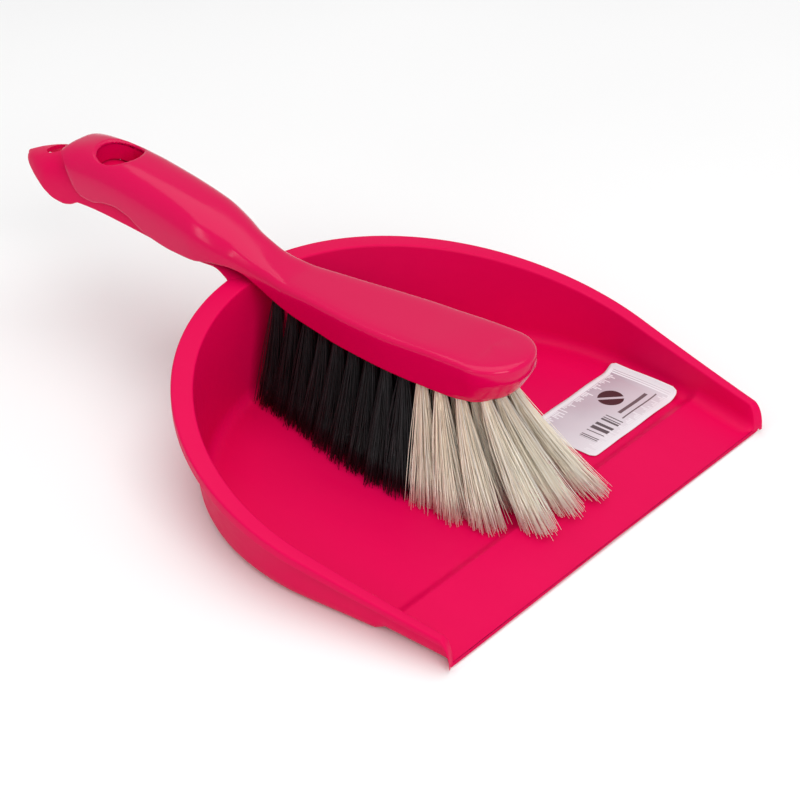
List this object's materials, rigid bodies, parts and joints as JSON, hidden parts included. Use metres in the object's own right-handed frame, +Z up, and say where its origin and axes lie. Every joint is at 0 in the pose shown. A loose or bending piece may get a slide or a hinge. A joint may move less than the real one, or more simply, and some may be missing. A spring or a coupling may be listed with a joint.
{
  "type": "dust pan and brush set",
  "caption": "Pink plastic dust pan with a hollow handle, and a hand brush of dark and light bristles whose handle drops over the pan's handle.",
  "frame": {"origin": "on the ground under the middle of the set's length and width", "axes": "+Y from the lip to the handles, +X across the pan, +Z up"},
  "size_m": [0.2514, 0.3678, 0.0959],
  "materials": {
    "pan_plastic": "satin moulded polypropylene, bright pink",
    "brush_plastic": "glossy moulded polypropylene, bright pink",
    "label_paper": "coated paper, lilac grey with a white border",
    "black_bristle": "black synthetic filament, soft sheen",
    "cream_bristle": "cream synthetic filament, soft sheen"
  },
  "bodies": {
    "pan": {"dustpan": "pan_plastic", "paper_label": "label_paper"},
    "brush": {"brush_stock": "brush_plastic", "tuft_01_1": "cream_bristle", "tuft_01_2": "cream_bristle", "tuft_01_3": "cream_bristle", "tuft_02_1": "cream_bristle", "tuft_02_2": "cream_bristle", "tuft_02_3": "cream_bristle", "tuft_02_4": "cream_bristle", "tuft_03_1": "cream_bristle", "tuft_03_2": "cream_bristle", "tuft_03_3": "cream_bristle", "tuft_03_4": "cream_bristle", "tuft_04_1": "cream_bristle", "tuft_04_2": "cream_bristle", "tuft_04_3": "cream_bristle", "tuft_04_4": "cream_bristle", "tuft_05_1": "black_bristle", "tuft_05_2": "black_bristle", "tuft_05_3": "black_bristle", "tuft_05_4": "black_bristle", "tuft_06_1": "black_bristle", "tuft_06_2": "black_bristle", "tuft_06_3": "black_bristle", "tuft_06_4": "black_bristle", "tuft_07_1": "black_bristle", "tuft_07_2": "black_bristle", "tuft_07_3": "black_bristle", "tuft_07_4": "black_bristle", "tuft_08_1": "black_bristle", "tuft_08_2": "black_bristle", "tuft_08_3": "black_bristle", "tuft_08_4": "black_bristle", "tuft_09_1": "black_bristle", "tuft_09_2": "black_bristle", "tuft_09_3": "black_bristle", "tuft_09_4": "black_bristle", "tuft_10_1": "black_bristle", "tuft_10_2": "black_bristle", "tuft_10_3": "black_bristle", "tuft_11_1": "black_bristle", "tuft_11_2": "black_bristle", "tuft_11_3": "black_bristle", "tuft_12_1": "black_bristle", "tuft_12_2": "black_bristle", "tuft_12_3": "black_bristle", "tuft_13_1": "black_bristle", "tuft_13_2": "black_bristle"}
  },
  "joints": [
    {"name": "brush_lift", "type": "slide", "parent": "pan", "child": "brush", "axis": [0, 0, 1], "range_m": [0, 0.12]}
  ]
}
